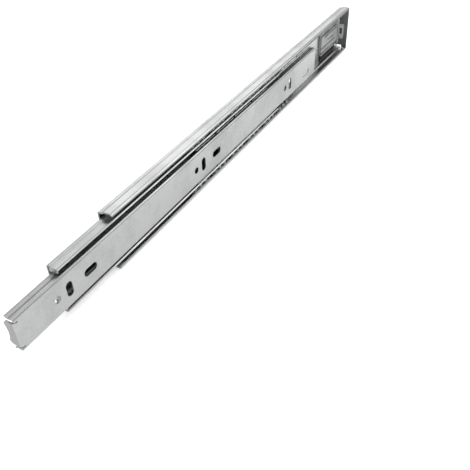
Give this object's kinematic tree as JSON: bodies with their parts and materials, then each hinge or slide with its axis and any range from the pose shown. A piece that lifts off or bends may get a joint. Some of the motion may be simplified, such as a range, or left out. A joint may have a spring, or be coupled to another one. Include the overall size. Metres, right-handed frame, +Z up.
{
  "type": "drawer slide",
  "caption": "Side-mount full-extension ball-bearing drawer slide: nested steel channels that roll on caged balls.",
  "frame": {"origin": "middle of the cabinet face, which is the outer face of the cabinet member's web", "axes": "+X along the slide towards its rear end (the drawer pulls out along -X), +Y out of the cabinet face into the cabinet wall, +Z up"},
  "size_m": [0.488, 0.0127, 0.0454],
  "materials": {
    "zinc_plated_steel": "bright zinc plated",
    "cage_steel": "plain zinc plated strip",
    "ball_steel": "polished",
    "detent_plastic": "moulded grey acetal",
    "lever_plastic": "moulded black",
    "guide_plastic": "moulded black",
    "frame_plastic": "moulded light grey",
    "buffer_plastic": "moulded dark grey"
  },
  "bodies": {
    "cabinet": {"cabinet_member": "zinc_plated_steel", "rear_detent": "detent_plastic", "rear_guide_strip": "guide_plastic", "rear_buffer": "buffer_plastic", "rear_buffer_frame": "frame_plastic"},
    "intermediate": {"intermediate_member": "zinc_plated_steel"},
    "drawer": {"drawer_member": "zinc_plated_steel", "lever_rivet": "zinc_plated_steel"},
    "upper_outer_cage": {"upper_outer_ball_cage": "cage_steel", "upper_outer_balls": "ball_steel"},
    "lower_outer_cage": {"lower_outer_ball_cage": "cage_steel", "lower_outer_balls": "ball_steel"},
    "inner_cage": {"inner_ball_cage": "cage_steel", "upper_inner_balls": "ball_steel", "lower_inner_balls": "ball_steel"},
    "lever": {"release_lever": "lever_plastic"}
  },
  "joints": [
    {"name": "intermediate_slide", "type": "slide", "parent": "cabinet", "child": "intermediate", "axis": [-1, 0, 0], "range_m": [-0.052, 0.103]},
    {"name": "drawer_slide", "type": "slide", "parent": "intermediate", "child": "drawer", "axis": [-1, 0, 0], "range_m": [-0.036, 0.209]},
    {"name": "upper_outer_cage_roll", "type": "slide", "parent": "cabinet", "child": "upper_outer_cage", "axis": [-1, 0, 0], "range_m": [-0.026, 0.0515]},
    {"name": "lower_outer_cage_roll", "type": "slide", "parent": "cabinet", "child": "lower_outer_cage", "axis": [-1, 0, 0], "range_m": [-0.026, 0.0515]},
    {"name": "inner_cage_roll", "type": "slide", "parent": "intermediate", "child": "inner_cage", "axis": [-1, 0, 0], "range_m": [-0.018, 0.1045]},
    {"name": "lever_turn", "type": "hinge", "parent": "drawer", "child": "lever", "pos_m": [-0.0162, -0.0105, 0], "axis": [0, -1, 0], "range_deg": [0, 5.6]}
  ],
  "couplings": [
    {"joint": "upper_outer_cage_roll", "follows": "intermediate_slide", "ratio": 0.5},
    {"joint": "lower_outer_cage_roll", "follows": "intermediate_slide", "ratio": 0.5},
    {"joint": "inner_cage_roll", "follows": "drawer_slide", "ratio": 0.5}
  ]
}
